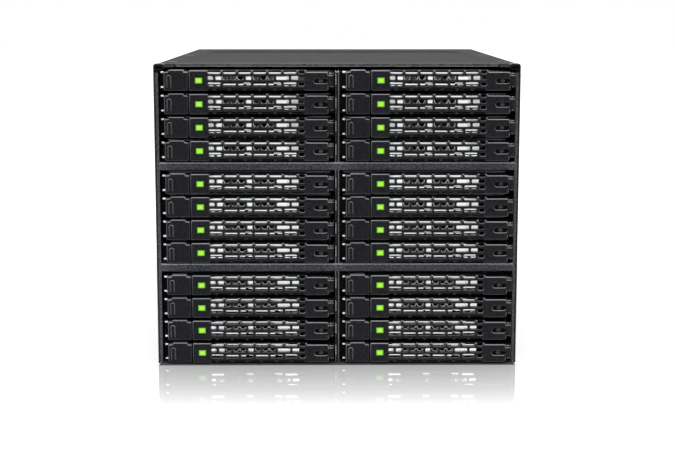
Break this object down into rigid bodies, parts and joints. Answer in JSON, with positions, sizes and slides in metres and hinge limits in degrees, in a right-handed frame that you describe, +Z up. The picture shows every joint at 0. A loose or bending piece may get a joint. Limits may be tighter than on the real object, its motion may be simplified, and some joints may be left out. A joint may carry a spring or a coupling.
{
  "type": "hot-swap drive cage",
  "caption": "Black metal cage with two columns of slide-out trays for slim drives, each with a vented swing lever, status light, push release and lock, and a fan and cable ports at the back.",
  "frame": {"origin": "centre of the bounding box at its bottom, on the base sheet", "axes": "+Z up, the tray levers face -Y, +X to the right seen from the front"},
  "size_m": [0.1484, 0.177, 0.124],
  "materials": {
    "cage_paint": "fine textured powder coat",
    "lever_paint": "satin black with a fine grain",
    "tray_metal": "bare satin",
    "release_plastic": "matte",
    "lock_metal": "turned",
    "board": "solder mask",
    "socket_plastic": "matte",
    "port_shell": "plated",
    "fan_plastic": "moulded"
  },
  "bodies": {
    "cage": {"chassis_shell": "cage_paint", "top_cover": "cage_paint", "centre_divider": "cage_paint", "bay_bars": "cage_paint", "backplane_board": "board", "drive_sockets": "socket_plastic", "cable_ports": "port_shell", "rear_panel": "cage_paint", "fan_frame": "fan_plastic"},
    "fan_rotor": {"fan_rotor": "fan_plastic"},
    "tray_01": {"tray_01": "tray_metal"},
    "lever_01": {"lever_01": "lever_paint"},
    "tray_02": {"tray_02": "tray_metal"},
    "lever_02": {"lever_02": "lever_paint"},
    "tray_03": {"tray_03": "tray_metal"},
    "lever_03": {"lever_03": "lever_paint"},
    "tray_04": {"tray_04": "tray_metal"},
    "lever_04": {"lever_04": "lever_paint"},
    "tray_05": {"tray_05": "tray_metal"},
    "lever_05": {"lever_05": "lever_paint"},
    "tray_06": {"tray_06": "tray_metal"},
    "lever_06": {"lever_06": "lever_paint"},
    "tray_07": {"tray_07": "tray_metal"},
    "lever_07": {"lever_07": "lever_paint"},
    "tray_08": {"tray_08": "tray_metal"},
    "lever_08": {"lever_08": "lever_paint"},
    "tray_09": {"tray_09": "tray_metal"},
    "lever_09": {"lever_09": "lever_paint"},
    "tray_10": {"tray_10": "tray_metal"},
    "lever_10": {"lever_10": "lever_paint"},
    "tray_11": {"tray_11": "tray_metal"},
    "lever_11": {"lever_11": "lever_paint"},
    "tray_12": {"tray_12": "tray_metal"},
    "lever_12": {"lever_12": "lever_paint"},
    "tray_13": {"tray_13": "tray_metal"},
    "lever_13": {"lever_13": "lever_paint"},
    "tray_14": {"tray_14": "tray_metal"},
    "lever_14": {"lever_14": "lever_paint"},
    "tray_15": {"tray_15": "tray_metal"},
    "lever_15": {"lever_15": "lever_paint"},
    "tray_16": {"tray_16": "tray_metal"},
    "lever_16": {"lever_16": "lever_paint"},
    "tray_17": {"tray_17": "tray_metal"},
    "lever_17": {"lever_17": "lever_paint"},
    "tray_18": {"tray_18": "tray_metal"},
    "lever_18": {"lever_18": "lever_paint"},
    "tray_19": {"tray_19": "tray_metal"},
    "lever_19": {"lever_19": "lever_paint"},
    "tray_20": {"tray_20": "tray_metal"},
    "lever_20": {"lever_20": "lever_paint"},
    "tray_21": {"tray_21": "tray_metal"},
    "lever_21": {"lever_21": "lever_paint"},
    "tray_22": {"tray_22": "tray_metal"},
    "lever_22": {"lever_22": "lever_paint"},
    "tray_23": {"tray_23": "tray_metal"},
    "lever_23": {"lever_23": "lever_paint"},
    "tray_24": {"tray_24": "tray_metal"},
    "lever_24": {"lever_24": "lever_paint"},
    "release_01": {"release_01": "release_plastic"},
    "lock_01": {"lock_01": "lock_metal"}
  },
  "joints": [
    {"name": "fan_spin", "type": "hinge", "parent": "cage", "child": "fan_rotor", "pos_m": [-0.027, 0.0715, 0.062], "axis": [0, 1, 0], "continuous": true},
    {"name": "tray_slide_01", "type": "slide", "parent": "cage", "child": "tray_01", "axis": [0, -1, 0], "range_m": [0, 0.125]},
    {"name": "lever_swing_01", "type": "hinge", "parent": "tray_01", "child": "lever_01", "pos_m": [-0.0026, -0.08725, 0.1174], "axis": [0, 0, 1], "range_deg": [0, 80]},
    {"name": "tray_slide_02", "type": "slide", "parent": "cage", "child": "tray_02", "axis": [0, -1, 0], "range_m": [0, 0.125]},
    {"name": "lever_swing_02", "type": "hinge", "parent": "tray_02", "child": "lever_02", "pos_m": [-0.0026, -0.08725, 0.10792], "axis": [0, 0, 1], "range_deg": [0, 80]},
    {"name": "tray_slide_03", "type": "slide", "parent": "cage", "child": "tray_03", "axis": [0, -1, 0], "range_m": [0, 0.125]},
    {"name": "lever_swing_03", "type": "hinge", "parent": "tray_03", "child": "lever_03", "pos_m": [-0.0026, -0.08725, 0.09844], "axis": [0, 0, 1], "range_deg": [0, 80]},
    {"name": "tray_slide_04", "type": "slide", "parent": "cage", "child": "tray_04", "axis": [0, -1, 0], "range_m": [0, 0.125]},
    {"name": "lever_swing_04", "type": "hinge", "parent": "tray_04", "child": "lever_04", "pos_m": [-0.0026, -0.08725, 0.08896], "axis": [0, 0, 1], "range_deg": [0, 80]},
    {"name": "tray_slide_05", "type": "slide", "parent": "cage", "child": "tray_05", "axis": [0, -1, 0], "range_m": [0, 0.125]},
    {"name": "lever_swing_05", "type": "hinge", "parent": "tray_05", "child": "lever_05", "pos_m": [-0.0026, -0.08725, 0.0755], "axis": [0, 0, 1], "range_deg": [0, 80]},
    {"name": "tray_slide_06", "type": "slide", "parent": "cage", "child": "tray_06", "axis": [0, -1, 0], "range_m": [0, 0.125]},
    {"name": "lever_swing_06", "type": "hinge", "parent": "tray_06", "child": "lever_06", "pos_m": [-0.0026, -0.08725, 0.06602], "axis": [0, 0, 1], "range_deg": [0, 80]},
    {"name": "tray_slide_07", "type": "slide", "parent": "cage", "child": "tray_07", "axis": [0, -1, 0], "range_m": [0, 0.125]},
    {"name": "lever_swing_07", "type": "hinge", "parent": "tray_07", "child": "lever_07", "pos_m": [-0.0026, -0.08725, 0.05654], "axis": [0, 0, 1], "range_deg": [0, 80]},
    {"name": "tray_slide_08", "type": "slide", "parent": "cage", "child": "tray_08", "axis": [0, -1, 0], "range_m": [0, 0.125]},
    {"name": "lever_swing_08", "type": "hinge", "parent": "tray_08", "child": "lever_08", "pos_m": [-0.0026, -0.08725, 0.04706], "axis": [0, 0, 1], "range_deg": [0, 80]},
    {"name": "tray_slide_09", "type": "slide", "parent": "cage", "child": "tray_09", "axis": [0, -1, 0], "range_m": [0, 0.125]},
    {"name": "lever_swing_09", "type": "hinge", "parent": "tray_09", "child": "lever_09", "pos_m": [-0.0026, -0.08725, 0.0336], "axis": [0, 0, 1], "range_deg": [0, 80]},
    {"name": "tray_slide_10", "type": "slide", "parent": "cage", "child": "tray_10", "axis": [0, -1, 0], "range_m": [0, 0.125]},
    {"name": "lever_swing_10", "type": "hinge", "parent": "tray_10", "child": "lever_10", "pos_m": [-0.0026, -0.08725, 0.02412], "axis": [0, 0, 1], "range_deg": [0, 80]},
    {"name": "tray_slide_11", "type": "slide", "parent": "cage", "child": "tray_11", "axis": [0, -1, 0], "range_m": [0, 0.125]},
    {"name": "lever_swing_11", "type": "hinge", "parent": "tray_11", "child": "lever_11", "pos_m": [-0.0026, -0.08725, 0.01464], "axis": [0, 0, 1], "range_deg": [0, 80]},
    {"name": "tray_slide_12", "type": "slide", "parent": "cage", "child": "tray_12", "axis": [0, -1, 0], "range_m": [0, 0.125]},
    {"name": "lever_swing_12", "type": "hinge", "parent": "tray_12", "child": "lever_12", "pos_m": [-0.0026, -0.08725, 0.00516], "axis": [0, 0, 1], "range_deg": [0, 80]},
    {"name": "tray_slide_13", "type": "slide", "parent": "cage", "child": "tray_13", "axis": [0, -1, 0], "range_m": [0, 0.125]},
    {"name": "lever_swing_13", "type": "hinge", "parent": "tray_13", "child": "lever_13", "pos_m": [0.0706, -0.08725, 0.1174], "axis": [0, 0, 1], "range_deg": [0, 80]},
    {"name": "tray_slide_14", "type": "slide", "parent": "cage", "child": "tray_14", "axis": [0, -1, 0], "range_m": [0, 0.125]},
    {"name": "lever_swing_14", "type": "hinge", "parent": "tray_14", "child": "lever_14", "pos_m": [0.0706, -0.08725, 0.10792], "axis": [0, 0, 1], "range_deg": [0, 80]},
    {"name": "tray_slide_15", "type": "slide", "parent": "cage", "child": "tray_15", "axis": [0, -1, 0], "range_m": [0, 0.125]},
    {"name": "lever_swing_15", "type": "hinge", "parent": "tray_15", "child": "lever_15", "pos_m": [0.0706, -0.08725, 0.09844], "axis": [0, 0, 1], "range_deg": [0, 80]},
    {"name": "tray_slide_16", "type": "slide", "parent": "cage", "child": "tray_16", "axis": [0, -1, 0], "range_m": [0, 0.125]},
    {"name": "lever_swing_16", "type": "hinge", "parent": "tray_16", "child": "lever_16", "pos_m": [0.0706, -0.08725, 0.08896], "axis": [0, 0, 1], "range_deg": [0, 80]},
    {"name": "tray_slide_17", "type": "slide", "parent": "cage", "child": "tray_17", "axis": [0, -1, 0], "range_m": [0, 0.125]},
    {"name": "lever_swing_17", "type": "hinge", "parent": "tray_17", "child": "lever_17", "pos_m": [0.0706, -0.08725, 0.0755], "axis": [0, 0, 1], "range_deg": [0, 80]},
    {"name": "tray_slide_18", "type": "slide", "parent": "cage", "child": "tray_18", "axis": [0, -1, 0], "range_m": [0, 0.125]},
    {"name": "lever_swing_18", "type": "hinge", "parent": "tray_18", "child": "lever_18", "pos_m": [0.0706, -0.08725, 0.06602], "axis": [0, 0, 1], "range_deg": [0, 80]},
    {"name": "tray_slide_19", "type": "slide", "parent": "cage", "child": "tray_19", "axis": [0, -1, 0], "range_m": [0, 0.125]},
    {"name": "lever_swing_19", "type": "hinge", "parent": "tray_19", "child": "lever_19", "pos_m": [0.0706, -0.08725, 0.05654], "axis": [0, 0, 1], "range_deg": [0, 80]},
    {"name": "tray_slide_20", "type": "slide", "parent": "cage", "child": "tray_20", "axis": [0, -1, 0], "range_m": [0, 0.125]},
    {"name": "lever_swing_20", "type": "hinge", "parent": "tray_20", "child": "lever_20", "pos_m": [0.0706, -0.08725, 0.04706], "axis": [0, 0, 1], "range_deg": [0, 80]},
    {"name": "tray_slide_21", "type": "slide", "parent": "cage", "child": "tray_21", "axis": [0, -1, 0], "range_m": [0, 0.125]},
    {"name": "lever_swing_21", "type": "hinge", "parent": "tray_21", "child": "lever_21", "pos_m": [0.0706, -0.08725, 0.0336], "axis": [0, 0, 1], "range_deg": [0, 80]},
    {"name": "tray_slide_22", "type": "slide", "parent": "cage", "child": "tray_22", "axis": [0, -1, 0], "range_m": [0, 0.125]},
    {"name": "lever_swing_22", "type": "hinge", "parent": "tray_22", "child": "lever_22", "pos_m": [0.0706, -0.08725, 0.02412], "axis": [0, 0, 1], "range_deg": [0, 80]},
    {"name": "tray_slide_23", "type": "slide", "parent": "cage", "child": "tray_23", "axis": [0, -1, 0], "range_m": [0, 0.125]},
    {"name": "lever_swing_23", "type": "hinge", "parent": "tray_23", "child": "lever_23", "pos_m": [0.0706, -0.08725, 0.01464], "axis": [0, 0, 1], "range_deg": [0, 80]},
    {"name": "tray_slide_24", "type": "slide", "parent": "cage", "child": "tray_24", "axis": [0, -1, 0], "range_m": [0, 0.125]},
    {"name": "lever_swing_24", "type": "hinge", "parent": "tray_24", "child": "lever_24", "pos_m": [0.0706, -0.08725, 0.00516], "axis": [0, 0, 1], "range_deg": [0, 80]},
    {"name": "release_press_01", "type": "slide", "parent": "lever_01", "child": "release_01", "axis": [0, 1, 0], "range_m": [0, 0.0015], "stiffness_N_per_m": 500, "springref_m": -0.001},
    {"name": "lock_turn_01", "type": "hinge", "parent": "lever_01", "child": "lock_01", "pos_m": [-0.0066, -0.086, 0.1172], "axis": [0, 1, 0], "range_deg": [0, 90]}
  ]
}
